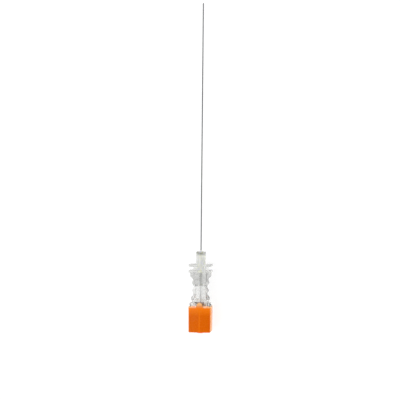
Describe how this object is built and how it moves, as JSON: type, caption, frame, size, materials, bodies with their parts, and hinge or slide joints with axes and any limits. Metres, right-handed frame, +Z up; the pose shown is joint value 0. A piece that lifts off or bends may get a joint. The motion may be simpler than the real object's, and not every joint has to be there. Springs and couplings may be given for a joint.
{
  "type": "spinal needle with stylet",
  "caption": "Fine-gauge spinal needle with a clear ribbed hub and a keyed orange stylet cap that pulls out backwards.",
  "frame": {"origin": "on the needle's axis, at the front face of the hub's nose, where the needle's length is measured from", "axes": "+Y along the needle to its tip, +Z up out of the key side that the bevel faces, +X across the finger plates"},
  "size_m": [0.0082, 0.1181, 0.0074],
  "materials": {
    "tube_steel": "drawn and polished stainless tube",
    "wire_steel": "drawn stainless wire",
    "clear_plastic": "clear moulded plastic with a polished surface",
    "cured_adhesive": "milky cured adhesive with a faint yellow-green cast",
    "orange_plastic": "orange moulded plastic, semi-gloss"
  },
  "bodies": {
    "needle": {"hub": "clear_plastic", "cannula": "tube_steel", "adhesive": "cured_adhesive"},
    "stylet": {"stylet_cap": "orange_plastic", "stylet_wire": "wire_steel"}
  },
  "joints": [
    {"name": "stylet_pull", "type": "slide", "parent": "needle", "child": "stylet", "axis": [0, -1, 0], "range_m": [0, 0.112]}
  ]
}
